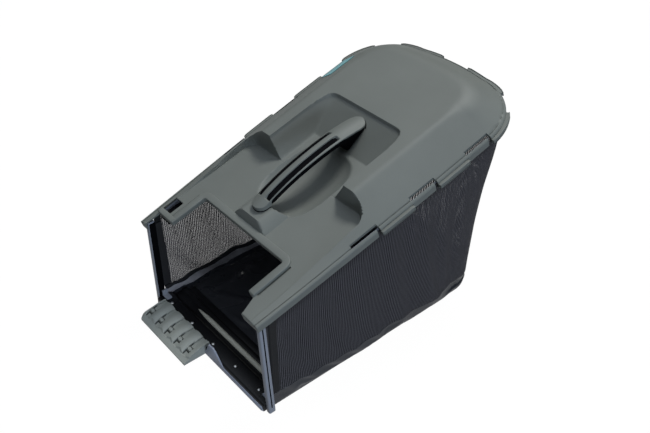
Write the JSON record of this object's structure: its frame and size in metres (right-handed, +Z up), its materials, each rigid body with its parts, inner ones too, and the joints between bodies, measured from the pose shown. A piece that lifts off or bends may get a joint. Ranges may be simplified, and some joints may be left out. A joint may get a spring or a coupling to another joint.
{
  "type": "grass catcher",
  "caption": "Mower grass catcher: moulded sloping cover with a carrying handle over an open-fronted mesh bag with a coated floor, front posts and a ribbed tongue.",
  "frame": {"origin": "on the ground under the middle of the whole catcher", "axes": "+X across the mouth to the side of the right post, +Y from the mouth to the back, +Z up"},
  "size_m": [0.355, 0.5888, 0.3679],
  "materials": {
    "cover": "fine moulded texture, satin",
    "grey_frame": "satin",
    "black_plastic": "satin",
    "mesh": "open ribbed mesh",
    "coated_cloth": "smooth coated cloth, half glossy",
    "tape": "woven binding tape",
    "steel": "satin",
    "label": "printed film, plain"
  },
  "bodies": {
    "root": {"top_cover": "cover", "handle": "cover", "handle_screw_front": "steel", "handle_screw_back": "steel", "side_label": "label", "mesh_bag": "mesh", "bag_floor": "coated_cloth", "seam_tape": "tape", "clip_strip_left": "grey_frame", "clip_strip_right": "grey_frame", "clip_strip_back": "grey_frame", "post_left": "grey_frame", "post_right": "grey_frame", "foot_clip_left": "grey_frame", "foot_clip_right": "grey_frame", "hem_left": "tape", "hem_right": "tape", "sill": "black_plastic", "floor_batten": "grey_frame", "rivet_1": "steel", "rivet_2": "steel", "rivet_3": "steel", "rivet_4": "steel", "rivet_5": "steel"}
  },
  "joints": []
}
